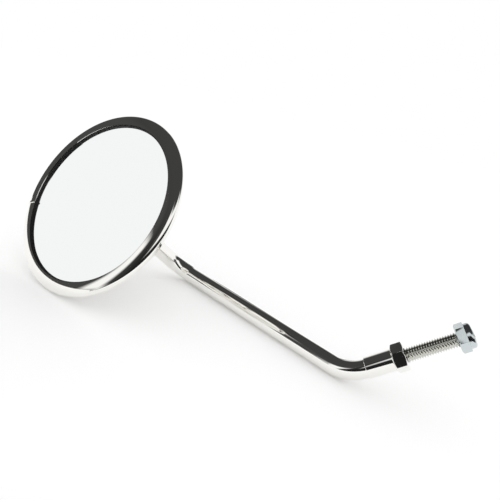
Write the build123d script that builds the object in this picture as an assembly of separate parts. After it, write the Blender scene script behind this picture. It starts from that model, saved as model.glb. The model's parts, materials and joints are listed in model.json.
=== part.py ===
from build123d import *
import math
import os

os.makedirs("parts", exist_ok=True)

# Bike mirror: a round head on a ball joint, a bent tube stem and an M6 mounting stud.
# Millimetres. +Z runs up the stud towards the stem. The origin is on the stud's axis, in the
# face of the jam nut that clamps against the handlebar bracket. The mirror looks along -Y.

# ---- stud and nuts ----
stud_radius = 3.0            # M6, over the thread crests
stud_below_seat = 26.1       # from the jam nut's clamping face to the stud's tip
stud_tip_chamfer = 0.6
shank_radius = 3.05          # plain end of the stud, brazed into the tube
shank_above_nut = 0.4        # the thread runs out this far above the jam nut
shank_into_tube = 8.0
nut_flats = 10.0             # across flats, M6
nut_bore_clearance = 0.05
jam_nut_height = 5.0
jam_nut_turn = 28.0          # degrees about Z
lock_nut_gap = 19.8          # between the two nuts, where the bracket goes
lock_nut_hex_height = 3.6
lock_nut_collar_height = 2.4
lock_nut_collar_radius = 4.9
lock_nut_turn = 46.0         # degrees about Z
insert_radius = 3.95
insert_bore_clearance = 0.02
insert_height = 1.5
insert_lip = 0.35            # crimped metal over the insert
nut_face_share = 0.95        # width of a nut's round face as a share of its flats
nut_chamfer_angle = 30.0

# ---- stem ----
tube_radius = 4.0
tube_wall = 0.9
ferrule_radius = 4.5
ferrule_length = 11.0
ferrule_floor = 2.0
ferrule_edge = 0.45
braze_clearance = 0.02
tube_above_ferrule = 0.45    # straight tube between the ferrule and the bend
lower_bend_angle = 49.0      # degrees from the stud's axis
lower_bend_radius = 17.0
stem_run = 111.7             # between the corners of the two bends
upper_bend_radius = 12.0
neck_run = 44.6              # from the upper bend's corner to the ball's centre

# ---- ball joint ----
ball_radius = 6.0
neck_radius = 2.75
neck_length = 10.0           # from the ball's centre to the tube's end
spigot_length = 8.0
spigot_clearance = 0.05
joint_clearance = 0.08
liner_thickness = 1.0
rear_liner_from = 50.0       # degrees from the neck's axis
rear_liner_to = 85.0
front_liner_to = 55.0        # degrees from the head's axis
socket_opening = 56.0        # half angle of the hole that the neck swings in, degrees
pressure_disc_clearance = 0.2
pressure_disc_depth = 1.5    # behind the spherical seat
pressure_seat_to = 50.0      # degrees from the head's axis
disc_spring_height = 1.0
disc_spring_wall = 0.4
disc_spring_inner = 4.0
disc_spring_clearance = 0.5  # between the spring's rim and the cup
cup_clearance = 1.06         # between the liners and the cup
cup_wall = 1.8
cup_floor = 1.2
cup_flange_width = 3.8
cup_mouth = 1.5              # how far the cup reaches past the ball's centre
collar_wall = 1.6
collar_skirt = 5.5
collar_lip_share = 0.84      # of the seat's radius, from the ball's centre to the collar's face
collar_flats_share = 0.93    # spanner flats, as a share of the collar's width
collar_edge = 0.8
rivet_count = 3
rivet_radius = 1.2
rivet_head_radius = 1.8
rivet_head_height = 1.0
stiffener_thickness = 1.2

# ---- head ----
head_radius = 43.0           # over the bezel
bezel_roll_radius = 1.6      # of the rolled edge's section, outside and behind
bezel_face_slope = 12.0      # degrees by which the front face rises from the roll to the lip
bezel_wall = 0.5
bezel_lip_reach = 4.0        # from the middle of the roll in to the lip
bezel_back_angle = -88.0     # degrees round the section, from outwards
bezel_seam_width = 0.35
bezel_seam_angle = 65.0      # degrees round the head
shell_wall = 0.8
shell_flat_margin = 1.0      # flat round the cup's flange
shell_dome_radius = 60.0
shell_shoulder_radius = 3.2
shell_rim_height = 3.0
shell_rim_in_roll = 0.9      # how far the rim stands past the middle of the roll
glass_thickness = 2.0
gasket_lip = 0.25            # thickness at the edge of the glass
gasket_lip_reach = 2.7       # over the edge of the glass
gasket_wall = 0.6
pad_width = 9.8
pad_margin = 0.4             # between the pad's edge and the edge of the glass
shell_in_roll = 0.1          # between the shell's rim and the middle of the rolled edge
fit_gap = 0.1
head_pan = -9.5              # degrees about Z at rest, from straight off the neck
head_tilt = -1.75            # degrees about X at rest

# ---- places that follow from the sizes above ----
stud_seat = 0.0
ferrule_end = stud_seat + jam_nut_height
ferrule_top = ferrule_end + ferrule_length
tube_end = ferrule_end + ferrule_floor
lower_bend_start = lower_bend_radius * math.tan(math.radians(lower_bend_angle / 2))
lower_corner = Vector(0, 0, ferrule_top + tube_above_ferrule + lower_bend_start)
stem_direction = Vector(
    math.sin(math.radians(lower_bend_angle)), 0, math.cos(math.radians(lower_bend_angle))
)
upper_corner = lower_corner + stem_direction * stem_run
ball_centre = upper_corner + Vector(0, -neck_run, 0)
neck_direction = Vector(0, 1, 0)
pan = math.radians(head_pan)
tilt = math.radians(head_tilt)
head_direction = Vector(
    math.sin(pan) * math.cos(tilt), -math.cos(pan) * math.cos(tilt), -math.sin(tilt)
)
head_plane = Plane(origin=ball_centre, x_dir=Vector(-head_direction.Y, head_direction.X, 0),
                   z_dir=head_direction)
neck_plane = Plane(origin=ball_centre, x_dir=Vector(1, 0, 0), z_dir=neck_direction)

liner_inner = ball_radius + joint_clearance
liner_outer = liner_inner + liner_thickness
seat_radius = liner_outer + joint_clearance
disc_back = seat_radius + pressure_disc_depth
cup_floor_inside = disc_back + disc_spring_height
shell_back = cup_floor_inside + cup_floor
cup_bore_radius = seat_radius + cup_clearance
cup_outer_radius = cup_bore_radius + cup_wall
cup_flange_radius = cup_outer_radius + cup_flange_width
rivet_circle_radius = cup_outer_radius + cup_flange_width / 2
roll_circle = head_radius - bezel_roll_radius
shell_flat_radius = cup_flange_radius + shell_flat_margin
shell_rim_radius = roll_circle - shell_in_roll
shell_dome_slope = math.asin((shell_rim_radius - shell_flat_radius - shell_shoulder_radius)
                             / (shell_dome_radius - shell_shoulder_radius))
shell_shoulder_top = (shell_back + shell_dome_radius * (1 - math.cos(shell_dome_slope))
                      + shell_shoulder_radius * math.cos(shell_dome_slope))
shell_rim_top = shell_shoulder_top + shell_rim_height
roll_height = shell_rim_top - shell_rim_in_roll
face_slope = math.radians(bezel_face_slope)
lip_radius = roll_circle - bezel_lip_reach
glass_radius = shell_rim_radius - shell_wall - gasket_wall - 3 * fit_gap


def face_height(depth, radius):
    """Height of the bezel's conical face, at a depth under its outside, at a radius."""
    rolled = bezel_roll_radius - depth
    start_radius = roll_circle + rolled * math.sin(face_slope)
    start_height = roll_height + rolled * math.cos(face_slope)
    return start_height + (start_radius - radius) * math.tan(face_slope)


def gasket_front(radius):
    """Height of the gasket's front, which lies under the bezel's face."""
    return face_height(bezel_wall, radius) - fit_gap


glass_front = gasket_front(glass_radius) - gasket_lip
glass_back = glass_front - glass_thickness


def in_head(shape):
    """Moves a shape drawn about +Z from the ball's centre onto the head's axis."""
    return head_plane.location * shape


def in_neck(shape):
    """Moves a shape drawn about +Z from the ball's centre onto the neck's axis."""
    return neck_plane.location * shape


def turned(profile):
    """A solid of revolution about Z, from a closed profile of edges in the XZ plane."""
    return revolve(make_face(profile), axis=Axis.Z)


def disc(radius, low, high):
    """A cylinder about Z between two heights."""
    return Pos(0, 0, (low + high) / 2) * Cylinder(radius, high - low)


def ring(inner, outer, low, high):
    """A plain ring about Z between two heights."""
    return disc(outer, low, high) - disc(inner, low, high)


def polygon(points):
    """Closed straight edges through (radius, height) points."""
    return Polyline(*[(radius, 0, height) for radius, height in points], close=True)


def cone_of_view(half_angle, reach):
    """A solid cone about +Z with its apex at the ball's centre."""
    return turned(polygon([(0, 0), (0, reach), (reach * math.tan(math.radians(half_angle)), reach)]))


def sphere_zone(inner, outer, angle_from, angle_to):
    """A piece of spherical shell about the ball's centre, between two angles from +Z."""
    reach = 2 * outer
    zone = Sphere(outer) - Sphere(inner)
    zone = zone & cone_of_view(angle_to, reach)
    if angle_from > 0:
        zone = zone - cone_of_view(angle_from, reach)
    return zone


def dome(offset):
    """The shell's outline as a solid: offset 0 is its outside, the wall its inside."""
    start = (0, 0, shell_back + offset)
    flat = Line(start, (shell_flat_radius, 0, shell_back + offset))
    slope_end = shell_dome_radius - offset
    middle = shell_dome_slope / 2
    centre_height = shell_back + shell_dome_radius
    arc_middle = (shell_flat_radius + slope_end * math.sin(middle), 0,
                  centre_height - slope_end * math.cos(middle))
    arc_end = (shell_flat_radius + slope_end * math.sin(shell_dome_slope), 0,
               centre_height - slope_end * math.cos(shell_dome_slope))
    dome_arc = ThreePointArc(flat @ 1, arc_middle, arc_end)
    shoulder = shell_shoulder_radius - offset
    shoulder_middle = (shell_dome_slope + math.pi / 2) / 2
    shoulder_centre = (shell_rim_radius - shell_shoulder_radius, 0, shell_shoulder_top)
    shoulder_mid = (shoulder_centre[0] + shoulder * math.sin(shoulder_middle), 0,
                    shoulder_centre[2] - shoulder * math.cos(shoulder_middle))
    shoulder_end = (shell_rim_radius - offset, 0, shell_shoulder_top)
    shoulder_arc = ThreePointArc(dome_arc @ 1, shoulder_mid, shoulder_end)
    wall = Line(shoulder_arc @ 1, (shell_rim_radius - offset, 0, shell_rim_top))
    top = Line(wall @ 1, (0, 0, shell_rim_top))
    axis = Line(top @ 1, start)
    return turned([flat, dome_arc, shoulder_arc, wall, top, axis])


def on_circle(count, radius):
    """Centres evenly spaced on a circle about Z."""
    step = 2 * math.pi / count
    return [(radius * math.cos(step * i), radius * math.sin(step * i)) for i in range(count)]


def rivet_holes(low, high):
    """The rivets' shanks as one cutter."""
    holes = [Pos(x, y, 0) * disc(rivet_radius, low, high)
             for x, y in on_circle(rivet_count, rivet_circle_radius)]
    return Part() + holes


# ---- head pieces ----
def make_back_shell():
    shell = dome(0) - dome(shell_wall)
    return shell - rivet_holes(shell_back - 1, shell_back + 2 * shell_wall)


def make_bezel_ring():
    """Rolled edge with a conical face, open at the back, with the fine seam where its ends meet."""
    back = math.radians(bezel_back_angle)
    top = math.pi / 2 - face_slope

    def roll(radius, turn):
        return (roll_circle + radius * math.cos(turn), 0, roll_height + radius * math.sin(turn))

    def skin(depth):
        rolled = bezel_roll_radius - depth
        outer = ThreePointArc(roll(rolled, back), roll(rolled, (back + top) / 2),
                              roll(rolled, top))
        front = Line(outer @ 1, (lip_radius, 0, face_height(depth, lip_radius)))
        return [outer, front]

    outside = skin(0)
    inside = skin(bezel_wall)
    lip = Line(outside[1] @ 1, inside[1] @ 1)
    tail = Line(inside[0] @ 0, outside[0] @ 0)
    bezel = turned(outside + inside + [lip, tail])
    seam_reach = 3 * bezel_lip_reach
    seam = Pos(roll_circle, 0, roll_height) * Box(seam_reach, bezel_seam_width, seam_reach)
    return bezel - Rot(0, 0, bezel_seam_angle) * seam


def make_mirror_glass():
    glass = disc(glass_radius, glass_back, glass_front)
    return chamfer(glass.edges().filter_by(GeomType.CIRCLE), 0.2)


def make_glass_gasket():
    edge = glass_radius + fit_gap
    outer = edge + gasket_wall
    lip = glass_radius - gasket_lip_reach
    return turned(polygon([
        (lip, glass_front), (edge, glass_front), (edge, glass_back),
        (outer, glass_back), (outer, gasket_front(outer)), (lip, gasket_front(lip)),
    ]))


def make_backing_pad():
    pad_outer_radius = glass_radius - pad_margin
    blank = ring(pad_outer_radius - pad_width, pad_outer_radius, shell_back, glass_back)
    return blank & dome(shell_wall + fit_gap)


def make_stiffener_plate():
    low = shell_back + shell_wall
    plate = disc(cup_flange_radius, low, low + stiffener_thickness)
    return plate - rivet_holes(low - 1, low + stiffener_thickness + 1)


def make_cup_rivets():
    low = cup_floor_inside
    high = shell_back + shell_wall + stiffener_thickness
    dome_radius = (rivet_head_radius ** 2 + rivet_head_height ** 2) / (2 * rivet_head_height)
    rivets = []
    for x, y in on_circle(rivet_count, rivet_circle_radius):
        head = Pos(0, 0, low - rivet_head_height + dome_radius) * Sphere(dome_radius)
        head = head & disc(rivet_head_radius, low - rivet_head_height, low)
        shank = disc(rivet_radius, low, high)
        tail = disc(rivet_head_radius, high, high + rivet_head_height)
        rivets.append(Pos(x, y, 0) * (head + shank + tail))
    return Compound(children=rivets)


def make_socket_cup():
    wall = ring(cup_bore_radius, cup_outer_radius, -cup_mouth, cup_floor_inside)
    flange = disc(cup_flange_radius, cup_floor_inside, shell_back)
    return wall + flange - rivet_holes(cup_floor_inside - 1, shell_back + 1)


def make_socket_collar():
    skirt_inner = cup_outer_radius + fit_gap
    outer = skirt_inner + collar_wall
    collar_face = seat_radius * collar_lip_share
    blank = disc(outer, -collar_face, -cup_mouth + collar_skirt)
    blank = chamfer(blank.edges().sort_by(Axis.Z)[0], collar_edge)
    flats = Box(2 * outer * collar_flats_share, 4 * outer, 8 * outer)
    blank = blank & flats
    blank = blank - disc(skirt_inner, -cup_mouth - fit_gap, collar_skirt)
    blank = blank - Sphere(seat_radius)
    return blank - Rot(180, 0, 0) * cone_of_view(socket_opening, 2 * collar_face)


def make_pressure_disc():
    low = seat_radius * math.cos(math.radians(pressure_seat_to))
    return disc(cup_bore_radius - pressure_disc_clearance, low, disc_back) - Sphere(seat_radius)


def make_disc_spring():
    low = disc_back
    high = disc_back + disc_spring_height
    rim = cup_bore_radius - disc_spring_clearance
    return turned(polygon([
        (disc_spring_inner, low), (disc_spring_inner, low + disc_spring_wall),
        (rim, high), (rim, high - disc_spring_wall),
    ]))


def make_front_liner():
    return sphere_zone(liner_inner, liner_outer, 0, front_liner_to)


def make_rear_liner():
    return sphere_zone(liner_inner, liner_outer, rear_liner_from, rear_liner_to)


# ---- stem pieces ----
def make_ball_end():
    neck = disc(neck_radius, 0, neck_length)
    spigot_radius = tube_radius - tube_wall - spigot_clearance
    spigot = disc(spigot_radius, neck_length, neck_length + spigot_length)
    return Sphere(ball_radius) + neck + spigot


def make_stem_tube():
    path = FilletPolyline(
        (0, 0, tube_end), lower_corner, upper_corner,
        ball_centre + neck_direction * neck_length,
        radius=[lower_bend_radius, upper_bend_radius],
    )
    section = Plane(origin=path @ 0, z_dir=path % 0) * (
        Circle(tube_radius) - Circle(tube_radius - tube_wall))
    return sweep(section, path=path)


def make_ferrule():
    body = disc(ferrule_radius, ferrule_end, ferrule_top)
    body = chamfer(body.edges().filter_by(GeomType.CIRCLE), ferrule_edge / 2)
    body = body - disc(tube_radius + braze_clearance, tube_end, ferrule_top + 1)
    return body - disc(shank_radius + braze_clearance, ferrule_end - 1, tube_end + 1)


def make_threaded_stud():
    shank_start = ferrule_end + shank_above_nut
    thread = disc(stud_radius, stud_seat - stud_below_seat, shank_start)
    tip = thread.edges().filter_by(GeomType.CIRCLE).sort_by(Axis.Z)[0]
    thread = chamfer(tip, stud_tip_chamfer)
    return thread + disc(shank_radius, shank_start, tube_end + shank_into_tube)


def hexagon_blank(low, high, chamfer_low, chamfer_high):
    """A hexagon of the nuts' flats between two heights, its corners turned off at 30 degrees."""
    corner_radius = nut_flats / math.sqrt(3)
    face_radius = nut_flats * nut_face_share / 2
    drop = (corner_radius - face_radius) * math.tan(math.radians(nut_chamfer_angle))
    prism = extrude(Plane(origin=(0, 0, low)) * RegularPolygon(corner_radius, 6), high - low)
    outline = [(0, low)]
    outline += [(face_radius, low), (corner_radius, low + drop)] if chamfer_low else [
        (corner_radius, low)]
    outline += [(corner_radius, high - drop), (face_radius, high)] if chamfer_high else [
        (corner_radius, high)]
    outline += [(0, high)]
    return prism & turned(polygon(outline))


def make_jam_nut():
    nut = hexagon_blank(stud_seat, ferrule_end, True, True)
    nut = nut - disc(stud_radius + nut_bore_clearance, stud_seat - 1, ferrule_end + 1)
    return Rot(0, 0, jam_nut_turn) * nut


lock_nut_top = stud_seat - lock_nut_gap
lock_nut_shoulder = lock_nut_top - lock_nut_hex_height
lock_nut_end = lock_nut_shoulder - lock_nut_collar_height
insert_end = lock_nut_end + insert_lip


def make_lock_nut():
    """Hexagon with a round collar, crimped over the nylon insert."""
    hexagon = hexagon_blank(lock_nut_shoulder, lock_nut_top, False, True)
    collar = disc(lock_nut_collar_radius, lock_nut_end, lock_nut_shoulder)
    rim = collar.edges().filter_by(GeomType.CIRCLE).sort_by(Axis.Z)[0]
    collar = fillet(rim, lock_nut_collar_height / 2)
    nut = Rot(0, 0, lock_nut_turn) * hexagon + collar
    nut = nut - disc(stud_radius + nut_bore_clearance, lock_nut_end - 1, lock_nut_top + 1)
    return nut - disc(insert_radius, insert_end, insert_end + insert_height)


def make_lock_insert():
    return ring(stud_radius + insert_bore_clearance, insert_radius - braze_clearance,
                insert_end, insert_end + insert_height)


pieces = {
    "back_shell": in_head(make_back_shell()),
    "bezel_ring": in_head(make_bezel_ring()),
    "mirror_glass": in_head(make_mirror_glass()),
    "glass_gasket": in_head(make_glass_gasket()),
    "backing_pad": in_head(make_backing_pad()),
    "stiffener_plate": in_head(make_stiffener_plate()),
    "cup_rivets": in_head(make_cup_rivets()),
    "socket_cup": in_head(make_socket_cup()),
    "socket_collar": in_head(make_socket_collar()),
    "pressure_disc": in_head(make_pressure_disc()),
    "disc_spring": in_head(make_disc_spring()),
    "front_liner": in_head(make_front_liner()),
    "rear_liner": in_neck(make_rear_liner()),
    "ball_end": in_neck(make_ball_end()),
    "stem_tube": make_stem_tube(),
    "ferrule": make_ferrule(),
    "threaded_stud": make_threaded_stud(),
    "jam_nut": make_jam_nut(),
    "lock_nut": make_lock_nut(),
    "lock_insert": make_lock_insert(),
}

for node, shape in pieces.items():
    export_step(shape, f"parts/{node}.step")
    print(f"{node}: {shape.volume:.1f} mm3")
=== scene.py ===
# %% [markdown]
# # A bicycle mirror on a bent tube
# The mirror is a round glass in a rolled chrome edge, on a ball joint, on a bent tube that ends in
# a threaded stud with two nuts. The measured solids exist already. This file loads them as a fixed
# frame and remakes each surface that the eye meets, at the same size and in the same place.
# Lengths are in metres, and the stud runs down -Z from the origin.

# %% Load the frame
import json
import math
import bpy
from mathutils import Matrix, Vector


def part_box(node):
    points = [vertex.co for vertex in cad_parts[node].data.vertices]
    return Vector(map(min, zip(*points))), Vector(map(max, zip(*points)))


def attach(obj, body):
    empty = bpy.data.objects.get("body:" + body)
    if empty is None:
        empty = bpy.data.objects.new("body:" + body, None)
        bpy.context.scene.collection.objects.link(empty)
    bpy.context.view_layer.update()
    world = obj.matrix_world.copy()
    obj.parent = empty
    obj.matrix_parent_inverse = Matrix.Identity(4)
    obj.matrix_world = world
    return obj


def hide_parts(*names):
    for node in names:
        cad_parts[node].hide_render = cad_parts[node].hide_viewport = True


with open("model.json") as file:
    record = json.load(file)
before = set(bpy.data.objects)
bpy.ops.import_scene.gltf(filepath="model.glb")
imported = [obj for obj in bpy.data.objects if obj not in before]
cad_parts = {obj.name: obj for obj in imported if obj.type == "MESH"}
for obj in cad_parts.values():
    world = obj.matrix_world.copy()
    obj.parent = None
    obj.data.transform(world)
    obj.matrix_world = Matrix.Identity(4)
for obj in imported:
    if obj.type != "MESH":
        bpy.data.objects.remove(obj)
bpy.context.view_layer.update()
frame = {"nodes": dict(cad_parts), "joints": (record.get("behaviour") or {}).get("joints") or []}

MM = 0.001
scene = bpy.context.scene
scene.view_settings.view_transform = "Standard"
print("nodes:", ", ".join(sorted(frame["nodes"])))

# %% [markdown]
# ## Places that the frame gives
# The head turns about its ball, so the ball's centre is where the joints are. The glass is a disc
# on the head's axis, so the line from the ball to the middle of the glass is that axis. The stem
# lies in the XZ plane until its upper bend, which turns it along -Y to the ball.

# %% Places
joints = {joint["name"]: joint for joint in frame["joints"]}
ball = Vector(joints["head_pan"]["pos_m"])
glass_low, glass_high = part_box("mirror_glass")
head_axis = ((glass_low + glass_high) / 2 - ball).normalized()
head_side = Vector((-head_axis.y, head_axis.x, 0)).normalized()
head_rise = head_axis.cross(head_side)
head_place = Matrix((head_side, head_rise, head_axis)).transposed().to_4x4()
head_place.translation = ball

stem_angle = math.radians(49.0)
stem_way = Vector((math.sin(stem_angle), 0, math.cos(stem_angle)))
upper_corner = Vector((ball.x, 0, ball.z))
lower_corner = Vector((0, 0, ball.z - ball.x / math.tan(stem_angle)))
ferrule_low, ferrule_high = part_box("ferrule")
stud_low, stud_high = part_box("threaded_stud")
print("ball", ball, "head axis", head_axis)

# %% [markdown]
# ## The camera
# The mirror lies on a white table, on its rim and on both bends of the tube. The camera looks
# slightly down on that table. The frame's axes follow the stud and not the table, so the camera is
# rolled in them.

# %% Camera
camera_place = Vector((-0.08854, -0.20508, -0.02011))
camera_forward = Vector((0.6041, 0.7462, 0.2796)).normalized()
camera_right = camera_forward.cross(Vector((0.7868, -0.5030, -0.3575))).normalized()
camera_up = camera_right.cross(camera_forward)

camera_data = bpy.data.cameras.new("studio_camera")
camera_data.lens = 39.6
camera_data.sensor_width = 36.0
camera_data.clip_start = 0.005
camera_data.dof.use_dof = False
camera = bpy.data.objects.new("studio_camera", camera_data)
scene.collection.objects.link(camera)
turn = Matrix((camera_right, camera_up, -camera_forward)).transposed()
camera.matrix_world = Matrix.Translation(camera_place) @ turn.to_4x4()
scene.camera = camera
print("camera looks along", [round(value, 3) for value in camera_forward])

# %% [markdown]
# ## Helpers
# Colours are written as hex values, as on a colour card, and one function turns them into the
# linear numbers that the renderer works with. One function adds a shader node with its settings
# and its links, so that a material reads as a list from top to bottom.

# %% Colour and node helpers
def linear(hex_value):
    """An sRGB hex colour as linear RGBA."""
    channels = [int(hex_value[i:i + 2], 16) / 255 for i in (1, 3, 5)]
    return [c / 12.92 if c <= 0.04045 else ((c + 0.055) / 1.055) ** 2.4 for c in channels] + [1.0]


def add(tree, kind, settings=None, inputs=None):
    """Adds a node. An input is a value, or another node's output socket to link from."""
    node = tree.nodes.new(kind)
    for name, value in (settings or {}).items():
        setattr(node, name, value)
    for name, value in (inputs or {}).items():
        if isinstance(value, bpy.types.NodeSocket):
            tree.links.new(value, node.inputs[name])
        else:
            node.inputs[name].default_value = value
    return node


def empty_material(name):
    """A new material with only its output node."""
    material = bpy.data.materials.new(name)
    material.use_nodes = True
    material.node_tree.nodes.clear()
    return material, material.node_tree


# %% [markdown]
# ## The studio
# Chrome has no look of its own: it shows the room. So the room is drawn as a photographer would
# build it round a small shiny thing: a dark room with a small and a narrow window on the left and
# pale walls beside the camera, on the far right and behind on the left. Only reflections see that
# room. What the camera sees past the object, and what lights the table, stays plain white.
# Directions are given as on a compass that lies on the table: bearing 0 is towards the camera,
# positive to the right, and height is degrees above the table.

# %% Table
table_up = Vector((0.5414, -0.5657, -0.6221)).normalized()
table_height = -0.01907
to_camera = (-camera_forward + table_up * camera_forward.dot(table_up)).normalized()
to_right = to_camera.cross(table_up)
to_right = to_right if to_right.dot(camera_right) > 0 else -to_right


# The table ends just below the camera, so its near edge shows in the chrome as a dark strip.
camera_foot = camera_place - table_up * (camera_place.dot(table_up) - table_height)
table_size = 3.0
near_edge = 0.105
table_middle = camera_foot - to_camera * (near_edge + table_size / 2)
bpy.ops.object.select_all(action="DESELECT")
bpy.ops.mesh.primitive_plane_add(size=table_size)
table = bpy.context.object
table.name = "table"
across = table_up.cross(to_camera)
lie = Matrix((-to_camera, -across, table_up)).transposed().to_4x4()
table.matrix_world = Matrix.Translation(table_middle) @ lie

# The table is matt white paper. It glows a little, so that its open surface is as white as the
# background, and it is clear from below, so that the object shows from every side.
paper, tree = empty_material("white_paper")
diffuse = add(tree, "ShaderNodeBsdfDiffuse", inputs={"Color": linear("#F4F4F4")})
glow = add(tree, "ShaderNodeEmission", inputs={"Color": linear("#FFFFFF"), "Strength": 0.12})
both = add(tree, "ShaderNodeAddShader", inputs={0: diffuse.outputs[0], 1: glow.outputs[0]})
clear = add(tree, "ShaderNodeBsdfTransparent")
below = add(tree, "ShaderNodeNewGeometry")
sides = add(tree, "ShaderNodeMixShader",
            inputs={0: below.outputs["Backfacing"], 1: both.outputs[0], 2: clear.outputs[0]})
add(tree, "ShaderNodeOutputMaterial", inputs={"Surface": sides.outputs[0]})
table.data.materials.append(paper)
print("table", round(table_height / MM, 1), "mm from the origin")

# %% World
world = bpy.data.worlds.new("studio")
scene.world = world
world.cycles.sampling_method = "NONE"
world.use_nodes = True
tree = world.node_tree
tree.nodes.clear()
direction = add(tree, "ShaderNodeTexCoord").outputs["Generated"]


def along(axis):
    """How far a direction in the room points along an axis."""
    return add(tree, "ShaderNodeVectorMath", {"operation": "DOT_PRODUCT"},
               {0: direction, 1: axis}).outputs["Value"]


def calculate(operation, first, second=0.0):
    return add(tree, "ShaderNodeMath", {"operation": operation}, {0: first, 1: second}).outputs[0]


height = calculate("ARCSINE", along(table_up))
bearing = calculate("ARCTAN2", along(to_right), along(to_camera))


def window(middle_bearing, half_width, lowest, highest, soft=6.0):
    """A soft-edged bright window on the room's wall; all in degrees."""
    away = calculate("SUBTRACT", bearing, math.radians(middle_bearing))
    sideways = add(tree, "ShaderNodeMapRange", {"interpolation_type": "SMOOTHSTEP"},
                   {"Value": calculate("ABSOLUTE", away),
                    "From Min": math.radians(half_width + soft),
                    "From Max": math.radians(half_width - soft)}).outputs["Result"]
    bottom = add(tree, "ShaderNodeMapRange", {"interpolation_type": "SMOOTHSTEP"},
                 {"Value": height, "From Min": math.radians(lowest - soft),
                  "From Max": math.radians(lowest + soft)}).outputs["Result"]
    top = add(tree, "ShaderNodeMapRange", {"interpolation_type": "SMOOTHSTEP"},
              {"Value": height, "From Min": math.radians(highest + soft),
               "From Max": math.radians(highest - soft)}).outputs["Result"]
    return calculate("MULTIPLY", calculate("MULTIPLY", sideways, bottom), top)


# The small window is what the glass shows, and the narrow one lights the rim low on its right.
small_window = window(-88, 10, 10, 31, 2)
narrow_window = window(-63, 6, -2, 25, 3)
pale_wall = window(22, 64, 19, 44, 5)
far_right_wall = window(130, 46, -14, 24)
back_left_wall = window(-165, 22, -10, 26, 12)
shine = small_window
for bright in (narrow_window, pale_wall, far_right_wall, back_left_wall):
    shine = calculate("MAXIMUM", shine, bright)
dim_left = calculate("MULTIPLY", window(-100, 50, -20, 45, 15), 0.06)
ceiling = add(tree, "ShaderNodeMapRange", {"interpolation_type": "SMOOTHSTEP"},
              {"Value": height, "From Min": math.radians(10), "From Max": math.radians(45),
               "To Min": 0.015, "To Max": 0.05}).outputs["Result"]
room = calculate("MAXIMUM", shine, calculate("MAXIMUM", dim_left, ceiling))
ray = add(tree, "ShaderNodeLightPath")
strength = add(tree, "ShaderNodeMix", {"data_type": "FLOAT"},
               {0: ray.outputs["Is Glossy Ray"], 2: 1.0, 3: room})
background = add(tree, "ShaderNodeBackground",
                 inputs={"Color": linear("#FFFFFF"), "Strength": strength.outputs[0]})
add(tree, "ShaderNodeOutputWorld", inputs={"Surface": background.outputs[0]})
print("world nodes:", len(tree.nodes))

# %% [markdown]
# ## Finishes
# Each finish starts from what the real one is. Bright chrome is a hard mirror with a trace of
# ripple from the polished steel under it, zinc is softer and bluer, and moulded nylon is waxy.

# %% Chrome
def plated(name, colour, roughness, ripple, grain=0.0):
    """A polished or plated metal: ripple is the depth of its waviness in mm, grain its haze."""
    material, tree = empty_material(name)
    place = add(tree, "ShaderNodeTexCoord").outputs["Object"]
    waves = add(tree, "ShaderNodeTexNoise", inputs={"Vector": place, "Scale": 70.0, "Detail": 1.0})
    bump = add(tree, "ShaderNodeBump", inputs={"Height": waves.outputs["Fac"], "Strength": 1.0,
                                               "Distance": ripple * MM})
    haze = add(tree, "ShaderNodeTexNoise", inputs={"Vector": place, "Scale": 900.0, "Detail": 3.0})
    rough = add(tree, "ShaderNodeMapRange", inputs={
        "Value": haze.outputs["Fac"], "To Min": roughness, "To Max": roughness + grain})
    metal = add(tree, "ShaderNodeBsdfPrincipled", inputs={
        "Base Color": linear(colour), "Metallic": 1.0, "Roughness": rough.outputs["Result"],
        "Normal": bump.outputs["Normal"]})
    add(tree, "ShaderNodeOutputMaterial", inputs={"Surface": metal.outputs[0]})
    return material


chrome = plated("bright_chrome", "#F7F6F2", 0.02, 0.02, 0.04)
thread_chrome = plated("thread_chrome", "#DFDFDA", 0.03, 0.01, 0.05)
zinc = plated("bright_zinc", "#CDD5D6", 0.10, 0.02, 0.08)
steel = plated("zinc_plated_steel", "#B4B6B8", 0.28, 0.02, 0.15)
spring_blue = plated("blued_spring_steel", "#5A5C66", 0.25, 0.01, 0.1)

# Silvered glass: the metal lies behind clear glass, so it is a perfect mirror with a hard coat.
silvering, tree = empty_material("silvered_glass")
mirror = add(tree, "ShaderNodeBsdfPrincipled", inputs={
    "Base Color": linear("#F2F5F4"), "Metallic": 1.0, "Roughness": 0.0, "Coat Weight": 1.0,
    "Coat Roughness": 0.0, "Coat IOR": 1.5})
add(tree, "ShaderNodeOutputMaterial", inputs={"Surface": mirror.outputs[0]})


def moulded(name, dark, light, roughness, grain_size):
    """Rubber, foam or nylon: a matt body colour that varies over grains of a given size in mm."""
    material, tree = empty_material(name)
    place = add(tree, "ShaderNodeTexCoord").outputs["Object"]
    grain = add(tree, "ShaderNodeTexNoise",
                inputs={"Vector": place, "Scale": 1 / (grain_size * MM), "Detail": 4.0})
    colour = add(tree, "ShaderNodeMix", {"data_type": "RGBA"},
                 {0: grain.outputs["Fac"], 6: linear(dark), 7: linear(light)})
    bump = add(tree, "ShaderNodeBump", inputs={"Height": grain.outputs["Fac"], "Strength": 0.4,
                                               "Distance": 0.05 * MM})
    body = add(tree, "ShaderNodeBsdfPrincipled", inputs={
        "Base Color": colour.outputs[2], "Roughness": roughness, "Normal": bump.outputs["Normal"]})
    add(tree, "ShaderNodeOutputMaterial", inputs={"Surface": body.outputs[0]})
    return material


rubber = moulded("black_rubber", "#0B0B0B", "#1C1B1A", 0.55, 0.4)
foam = moulded("closed_cell_foam", "#1E1E1E", "#333333", 0.95, 0.8)
nylon = moulded("natural_nylon", "#D6D3C6", "#E6E4DA", 0.38, 1.5)

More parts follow.
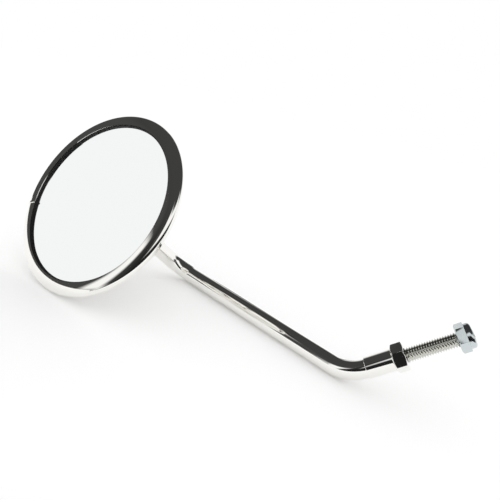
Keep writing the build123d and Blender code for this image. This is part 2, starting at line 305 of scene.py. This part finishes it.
hidden_finishes = {
    "backing_pad": foam, "stiffener_plate": steel, "cup_rivets": steel, "socket_cup": chrome,
    "socket_collar": chrome, "pressure_disc": steel, "disc_spring": spring_blue,
    "front_liner": nylon, "rear_liner": nylon, "ball_end": chrome, "lock_insert": nylon,
}
for name, node in frame["nodes"].items():
    node.data.materials.clear()
    node.data.materials.append(hidden_finishes.get(name, chrome))
print("finishes:", len(bpy.data.materials))

# %% [markdown]
# ## Turned pieces
# A ring, a sleeve or a dome is turned: its outline is drawn as a line of points on one side of an
# axis, and the line is spun round it. That is how a lathe sees the piece, and it keeps the surface
# smooth where chrome would show every facet.

# %% Outline helpers
def arc(centre, radius, start, end, count):
    """Points on a round stretch of an outline, from start to end in degrees."""
    angles = [math.radians(start + (end - start) * i / count) for i in range(count + 1)]
    return [(centre[0] + radius * math.cos(a), centre[1] + radius * math.sin(a)) for a in angles]


def draw(points):
    """Draws an outline of (radius, height) points in mm, in the XZ plane, and stays in edit mode."""
    bpy.ops.object.select_all(action="DESELECT")
    bpy.ops.mesh.primitive_plane_add(size=1 * MM)
    bpy.ops.object.mode_set(mode="EDIT")
    bpy.ops.mesh.select_mode(type="VERT")
    bpy.ops.mesh.merge(type="CENTER")
    place = [Vector((radius * MM, 0, height * MM)) for radius, height in points]
    bpy.ops.transform.translate(value=place[0])
    for before, after in zip(place, place[1:]):
        bpy.ops.mesh.extrude_region_move(TRANSFORM_OT_translate={"value": after - before})
    return bpy.context.object


def finish_piece(piece, name, material, body, node, sharp):
    """Names a finished piece, smooths it, gives it its finish and ties it to its body.

    Edges that turn by more than sharp, in degrees, stay crisp.
    """
    piece.name = name
    piece.data.name = name
    piece.data.materials.clear()
    piece.data.materials.append(material)
    bpy.ops.object.select_all(action="DESELECT")
    piece.select_set(True)
    bpy.context.view_layer.objects.active = piece
    bpy.ops.object.transform_apply(location=True, rotation=True, scale=True)
    bpy.ops.object.shade_smooth_by_angle(angle=math.radians(sharp))
    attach(piece, body)
    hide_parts(node)
    print(name, len(piece.data.polygons), "faces")
    return piece


def spin_closed(steps, turn=2 * math.pi):
    """Spins the drawn outline round Z and closes it into a solid skin; leaves edit mode."""
    bpy.ops.mesh.select_all(action="SELECT")
    bpy.ops.mesh.spin(steps=steps, angle=turn, center=(0, 0, 0), axis=(0, 0, 1))
    bpy.ops.mesh.select_all(action="SELECT")
    bpy.ops.mesh.remove_doubles(threshold=1e-3 * MM)
    bpy.ops.mesh.fill_holes(sides=0)
    bpy.ops.mesh.select_all(action="SELECT")
    bpy.ops.mesh.normals_make_consistent(inside=False)
    bpy.ops.object.mode_set(mode="OBJECT")
    return bpy.context.object


# %% [markdown]
# ## The rolled edge
# The edge is a strip of steel rolled into an open ring: round outside and behind, with a conical
# face in front that rises to a lip over the glass. The section is drawn once and spun almost all
# the way round, and its two ends meet in a small raised seam on the left of the rim.

# %% Rolled edge
head_radius = 43.0
roll_radius = 1.6
edge_wall = 0.5
lip_reach = 4.0
face_slope = math.radians(12.0)
# The face is not quite straight but swells a little, so its reflections fade instead of stopping.
face_swell = 0.12
face_steps = 10
roll_circle = head_radius - roll_radius
lip_radius = roll_circle - lip_reach


def along_axis(node, pick):
    """The lowest (pick=min) or highest (pick=max) point of a node on the head's axis, in mm."""
    return pick((vertex.co - ball).dot(head_axis) for vertex in frame["nodes"][node].data.vertices) / MM


def face_rise(depth, radius):
    """Height of the conical face above the middle of the roll, at a depth under its outside."""
    rolled = roll_radius - depth
    across_face = roll_circle + rolled * math.sin(face_slope) - radius
    return rolled * math.cos(face_slope) + across_face * math.tan(face_slope)


glass_front = along_axis("mirror_glass", max)
roll_height = along_axis("bezel_ring", max) - face_rise(0, lip_radius)


def edge_skin(depth):
    """The section's outline at a depth under its outside, from the back to the lip."""
    roll = arc((roll_circle, roll_height), roll_radius - depth, -88,
               90 - math.degrees(face_slope), 24)
    foot = roll[-1][0]
    face = []
    for i in range(1, face_steps + 1):
        share = i / face_steps
        radius = foot + (lip_radius - foot) * share
        swell = 4 * face_swell * share * (1 - share)
        face.append((radius, roll_height + face_rise(depth, radius) + swell))
    return roll + face


def edge_piece(outside, inside, turn, start):
    """Spins a stretch of the edge; turn and start are in degrees round the head."""
    line = edge_skin(outside) + edge_skin(inside)[::-1]
    draw(line + line[:1])
    piece = spin_closed(max(4, int(256 * turn / 360)), math.radians(turn))
    piece.matrix_world = head_place @ Matrix.Rotation(math.radians(start), 4, "Z")
    bpy.ops.object.select_all(action="DESELECT")
    piece.select_set(True)
    bpy.context.view_layer.objects.active = piece
    bpy.ops.object.transform_apply(location=True, rotation=True, scale=True)
    return piece


seam_place = 65.0
seam_gap = 0.5
bezel = edge_piece(0, edge_wall, 360 - seam_gap, seam_place - seam_gap / 2)
edge_piece(-0.35, edge_wall / 2, 1.3, seam_place + 0.65)
bezel.select_set(True)
bpy.context.view_layer.objects.active = bezel
bpy.ops.object.join()
finish_piece(bezel, "rolled_edge", chrome, "head", "bezel_ring", 30)

# %% [markdown]
# ## The glass and its gasket
# The glass is a plain disc with its edge ground off. It starts as a cylinder, and a bevel grinds
# the edge. The gasket is a black rubber ring with a lip that reaches over the glass.

# %% Glass
glass_radius = 39.6
glass_thickness = 2.0
ground_edge = 0.2
bpy.ops.object.select_all(action="DESELECT")
bpy.ops.mesh.primitive_cylinder_add(vertices=192, radius=glass_radius * MM, depth=glass_thickness * MM)
glass = bpy.context.object
bpy.ops.object.mode_set(mode="EDIT")
bpy.ops.mesh.select_mode(type="FACE")
bpy.ops.mesh.select_all(action="DESELECT")
bpy.ops.object.mode_set(mode="OBJECT")
for face in glass.data.polygons:
    face.select = abs(face.normal.z) > 0.9
bpy.ops.object.mode_set(mode="EDIT")
bpy.ops.mesh.region_to_loop()
bpy.ops.mesh.bevel(offset=ground_edge * MM, segments=2, affect="EDGES")
bpy.ops.object.mode_set(mode="OBJECT")
glass.matrix_world = head_place @ Matrix.Translation(
    (0, 0, (glass_front - glass_thickness / 2) * MM))
finish_piece(glass, "glass_disc", silvering, "head", "mirror_glass", 10)

# %% Gasket
fit_gap = 0.1
gasket_reach = 2.7
gasket_wall = 0.6
gasket_round = 0.2
gasket_inner = glass_radius - gasket_reach
seat = glass_radius + fit_gap
gasket_outer = seat + gasket_wall
glass_back = glass_front - glass_thickness
inner_front = roll_height + face_rise(edge_wall, gasket_inner) - fit_gap
outer_front = roll_height + face_rise(edge_wall, gasket_outer) - fit_gap
draw([(gasket_inner, glass_front), (seat, glass_front), (seat, glass_back),
      (gasket_outer, glass_back), (gasket_outer, outer_front)]
     + arc((gasket_inner + gasket_round, inner_front - gasket_round), gasket_round, 90, 180, 6)
     + [(gasket_inner, glass_front)])
gasket = spin_closed(192)
gasket.matrix_world = head_place
finish_piece(gasket, "gasket_ring", rubber, "head", "glass_gasket", 40)

# %% [markdown]
# ## The back shell
# The shell is one pressing: flat in the middle where the ball cup is riveted, then a shallow dome,
# a tight shoulder and a short straight rim that stands in the rolled edge.

# %% Back shell
shell_back = along_axis("back_shell", min)
shell_wall = 0.8
shell_flat = 14.82
dome_radius = 60.0
shoulder_radius = 3.2
rim_radius = roll_circle - fit_gap
rim_height = 3.0
dome_slope = math.degrees(math.asin((rim_radius - shell_flat - shoulder_radius)
                                    / (dome_radius - shoulder_radius)))
shoulder_height = (shell_back + dome_radius * (1 - math.cos(math.radians(dome_slope)))
                   + shoulder_radius * math.cos(math.radians(dome_slope)))


def shell_line(offset):
    """The shell's outline from its middle to its rim, moved inwards by offset."""
    dome = arc((shell_flat, shell_back + dome_radius), dome_radius - offset,
               -90, -90 + dome_slope, 16)
    shoulder = arc((rim_radius - shoulder_radius, shoulder_height), shoulder_radius - offset,
                   -90 + dome_slope, 0, 12)
    rim = [(rim_radius - offset, shoulder_height + rim_height)]
    return [(0, shell_back + offset)] + dome + shoulder[1:] + rim


draw(shell_line(0) + shell_line(shell_wall)[::-1])
shell = spin_closed(192)
shell.matrix_world = head_place
finish_piece(shell, "pressed_shell", chrome, "head", "back_shell", 40)

# %% [markdown]
# ## The stem
# The tube is bent twice on a tube bender. A circle is pushed along each straight run by an extrude
# and round each bend by a spin about the bend's own centre, then the wall gets its thickness.
# A spin turns clockwise as seen with its axis pointing at the eye, so its angle is negative here.

# %% Stem tube
tube_radius = 4.0
tube_wall = 0.9
tube_start = 7.0 * MM
neck_length = 10.0 * MM
lower_radius = 17.0 * MM
upper_radius = 12.0 * MM
lower_reach = lower_radius * math.tan(stem_angle / 2)
neck_way = Vector((0, -1, 0))


def push(distance, way):
    bpy.ops.mesh.extrude_region_move(TRANSFORM_OT_translate={"value": way * distance})


bpy.ops.object.select_all(action="DESELECT")
bpy.ops.mesh.primitive_circle_add(vertices=64, radius=tube_radius * MM, location=(0, 0, 0))
tube = bpy.context.object
bpy.ops.object.mode_set(mode="EDIT")
bpy.ops.mesh.select_mode(type="VERT")
bpy.ops.mesh.select_all(action="SELECT")
bpy.ops.transform.translate(value=(0, 0, tube_start))
push(lower_corner.z - lower_reach - tube_start, Vector((0, 0, 1)))
bpy.ops.mesh.spin(steps=36, angle=-stem_angle, axis=(0, 1, 0),
                  center=(lower_radius, 0, lower_corner.z - lower_reach))
push((upper_corner - lower_corner).length - lower_reach - upper_radius, stem_way)
bend_start = upper_corner - stem_way * upper_radius
bpy.ops.mesh.spin(steps=48, angle=-math.pi / 2, axis=stem_way.cross(neck_way),
                  center=bend_start + neck_way * upper_radius)
push(-ball.y - neck_length - upper_radius, neck_way)
bpy.ops.mesh.select_all(action="SELECT")
bpy.ops.mesh.remove_doubles(threshold=1e-3 * MM)
bpy.ops.mesh.normals_make_consistent(inside=False)
bpy.ops.object.mode_set(mode="OBJECT")
thick = tube.modifiers.new("wall", "SOLIDIFY")
thick.thickness = tube_wall * MM
thick.offset = -1.0
bpy.ops.object.modifier_apply(modifier="wall")
finish_piece(tube, "bent_tube", chrome, "stem", "stem_tube", 40)

# %% Ferrule
sleeve_low = ferrule_low.z / MM
sleeve_high = ferrule_high.z / MM
braze_gap = 0.02
sleeve_floor = 2.0
sleeve_radius = 4.5
sleeve_round = 0.2
level = 0.3
tube_bore = tube_radius + braze_gap
shank_bore = 3.05 + braze_gap
rounded = sleeve_radius - sleeve_round
draw([(tube_bore, sleeve_low + sleeve_floor), (tube_bore, sleeve_high), (rounded, sleeve_high)]
     + arc((rounded, sleeve_high - sleeve_round), sleeve_round, 90, 0, 5)
     + [(sleeve_radius, sleeve_high - level), (sleeve_radius, sleeve_low + level)]
     + arc((rounded, sleeve_low + sleeve_round), sleeve_round, 0, -90, 5)
     + [(shank_bore, sleeve_low), (shank_bore, sleeve_low + sleeve_floor),
        (tube_bore, sleeve_low + sleeve_floor)])
ferrule = spin_closed(96)
finish_piece(ferrule, "ferrule_sleeve", chrome, "stem", "ferrule", 15)

# %% [markdown]
# ## The stud
# A rolled M6 thread: one tooth is drawn on a line one pitch long, and a screw modifier winds it up
# the stud. Both ends are sawn off, and the tip is chamfered as a nut needs it to start.

# %% Threaded stud
pitch = 1.0
crest = 3.0
root = 2.39
turns = 34
start = stud_low.z / MM - 1.5
tooth = [(root, 0.0), (root, 0.14), (crest - 0.06, 0.48), (crest, 0.53), (crest, 0.61),
         (crest - 0.06, 0.66), (root, pitch)]
stud = draw([(radius, start + height) for radius, height in tooth])
bpy.ops.object.mode_set(mode="OBJECT")
wind = stud.modifiers.new("wind", "SCREW")
wind.axis = "Z"
wind.angle = 2 * math.pi
wind.screw_offset = pitch * MM
wind.iterations = turns
wind.steps = 48
wind.render_steps = 48
wind.use_merge_vertices = True
wind.merge_threshold = 1e-3 * MM
bpy.ops.object.modifier_apply(modifier="wind")


def saw(height, keep_above):
    """Cuts the active piece level at a height in mm and closes the cut."""
    bpy.ops.mesh.select_all(action="SELECT")
    bpy.ops.mesh.bisect(plane_co=(0, 0, height * MM), plane_no=(0, 0, 1), use_fill=True,
                        clear_inner=keep_above, clear_outer=not keep_above)


bpy.ops.object.mode_set(mode="EDIT")
bpy.ops.mesh.select_all(action="SELECT")
bpy.ops.mesh.remove_doubles(threshold=1e-3 * MM)
saw(stud_low.z / MM, True)
saw(5.4, False)
bpy.ops.mesh.select_all(action="SELECT")
bpy.ops.mesh.normals_make_consistent(inside=False)
bpy.ops.object.mode_set(mode="OBJECT")


def cut_with(piece, cutter, operation):
    """Applies a boolean of piece with cutter and throws the cutter away."""
    bpy.ops.object.select_all(action="DESELECT")
    bpy.context.view_layer.objects.active = piece
    piece.select_set(True)
    modifier = piece.modifiers.new("cut", "BOOLEAN")
    modifier.operation = operation
    modifier.solver = "EXACT"
    modifier.object = cutter
    bpy.ops.object.modifier_apply(modifier="cut")
    bpy.data.objects.remove(cutter)


tip = stud_low.z / MM
blank_line = [(0, tip), (2.3, tip), (3.1, tip + 0.8), (3.1, 6.0), (0, 6.0)]
draw(blank_line)
cut_with(stud, spin_closed(48), "INTERSECT")
bpy.ops.object.mode_set(mode="EDIT")
bpy.ops.mesh.select_mode(type="FACE")
bpy.ops.mesh.select_all(action="DESELECT")
bpy.ops.object.mode_set(mode="OBJECT")
top = max(vertex.co.z for vertex in stud.data.vertices)
for face in stud.data.polygons:
    face.select = face.center.z > top - 1e-3 * MM
bpy.ops.object.mode_set(mode="EDIT")
push(stud_high.z - top, Vector((0, 0, 1)))
bpy.ops.object.mode_set(mode="OBJECT")
finish_piece(stud, "rolled_stud", thread_chrome, "stem", "threaded_stud", 30)

# %% [markdown]
# ## The nuts
# A nut is forged as a hexagon and then turned, which cuts its corners to a cone. So a six-sided
# cylinder is intersected with a turned blank, its bore is cut, and a fine bevel breaks the edges.

# %% Nut helpers
flats = 10.0
corner = flats / math.sqrt(3)
face_edge = flats * 0.475
drop = (corner - face_edge) * math.tan(math.radians(30))


def hexagon(low, high, turned, chamfer_low=True):
    """A hexagonal blank with turned corners between two heights in mm; turned is in degrees."""
    draw([(0, low)] + ([(face_edge, low), (corner + 0.1, low + drop)] if chamfer_low
                       else [(corner + 0.1, low)])
         + [(corner + 0.1, high - drop), (face_edge, high), (0, high)])
    turned_blank = spin_closed(96)
    bpy.ops.object.select_all(action="DESELECT")
    bpy.ops.mesh.primitive_cylinder_add(vertices=6, radius=corner * MM, depth=(high - low) * MM,
                                        location=(0, 0, (high + low) / 2 * MM))
    nut = bpy.context.object
    nut.rotation_euler.z = math.radians(turned)
    bpy.ops.object.transform_apply(location=True, rotation=True, scale=True)
    cut_with(nut, turned_blank, "INTERSECT")
    return nut


def bore_out(nut, radius, low, high):
    bpy.ops.object.select_all(action="DESELECT")
    bpy.ops.mesh.primitive_cylinder_add(vertices=96, radius=radius * MM, depth=(high - low) * MM,
                                        location=(0, 0, (high + low) / 2 * MM))
    cut_with(nut, bpy.context.object, "DIFFERENCE")


def break_edges(nut, width):
    bevel = nut.modifiers.new("edges", "BEVEL")
    bevel.width = width * MM
    bevel.segments = 3
    bevel.limit_method = "ANGLE"
    bevel.angle_limit = math.radians(25)
    bevel.harden_normals = False
    bpy.ops.object.modifier_apply(modifier="edges")


# %% Jam nut
jam_low, jam_high = [corner_point.z / MM for corner_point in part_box("jam_nut")]
jam = hexagon(jam_low, jam_high, 28.0 + 30.0)
bore_out(jam, 3.05, jam_low - 1, jam_high + 1)
break_edges(jam, 0.12)
finish_piece(jam, "jam_nut_hexagon", chrome, "jam_nut", "jam_nut", 12)

# %% Lock nut
lock_low, lock_high = [corner_point.z / MM for corner_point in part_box("lock_nut")]
hexagon_height = 3.6
shoulder = lock_high - hexagon_height
lock = hexagon(shoulder, lock_high, 46.0 + 30.0, chamfer_low=False)
collar_radius = 4.9
draw([(0, shoulder + 0.5), (collar_radius, shoulder + 0.5)]
     + arc((collar_radius - 1.2, lock_low + 1.2), 1.2, 0, -90, 10) + [(0, lock_low)])
cut_with(lock, spin_closed(96), "UNION")
bore_out(lock, 3.05, lock_low - 1, lock_high + 1)
bore_out(lock, 3.95, lock_low + 0.35, lock_low + 0.35 + 1.5)
break_edges(lock, 0.1)
finish_piece(lock, "lock_nut_hexagon", zinc, "lock_nut", "lock_nut", 12)
